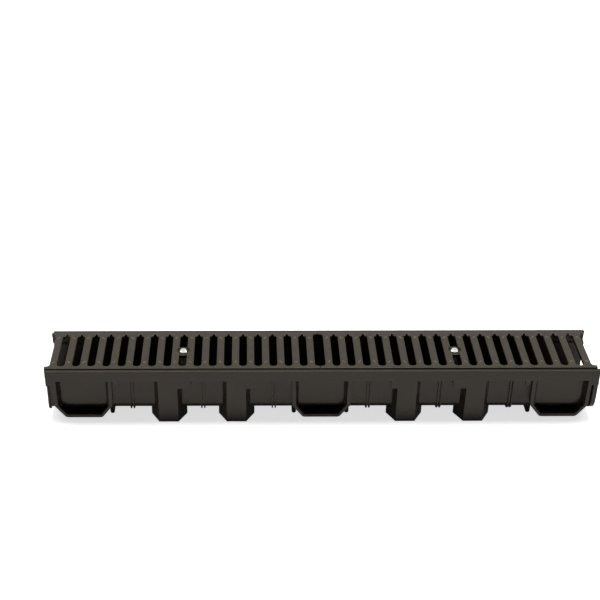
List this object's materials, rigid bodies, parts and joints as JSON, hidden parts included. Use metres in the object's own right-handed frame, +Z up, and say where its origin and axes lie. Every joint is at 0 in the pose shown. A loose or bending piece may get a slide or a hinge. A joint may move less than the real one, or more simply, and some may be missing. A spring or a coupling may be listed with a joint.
{
  "type": "channel drain",
  "caption": "Long U-shaped plastic surface drain with a deep flat rim band, open ends, moulded feet and cradles, and flush slotted grates held down by bolts.",
  "frame": {"origin": "midway along the trough on its centre line, at the level its feet stand on", "axes": "+X along the drain from the plain end to the end with the socket collar, +Y across it, +Z up"},
  "size_m": [1.002, 0.135, 0.1146],
  "materials": {
    "body_plastic": "fine matte moulding, near black",
    "grate_plastic": "fine matte moulding, dark warm grey",
    "bolt_steel": "bright stainless steel"
  },
  "bodies": {
    "root": {"channel_body": "body_plastic", "grate_left": "grate_plastic", "grate_right": "grate_plastic", "locking_bar_left": "grate_plastic", "locking_bar_right": "grate_plastic", "bolt_left": "bolt_steel", "bolt_right": "bolt_steel", "lock_nut_left": "bolt_steel", "lock_nut_right": "bolt_steel"}
  },
  "joints": []
}
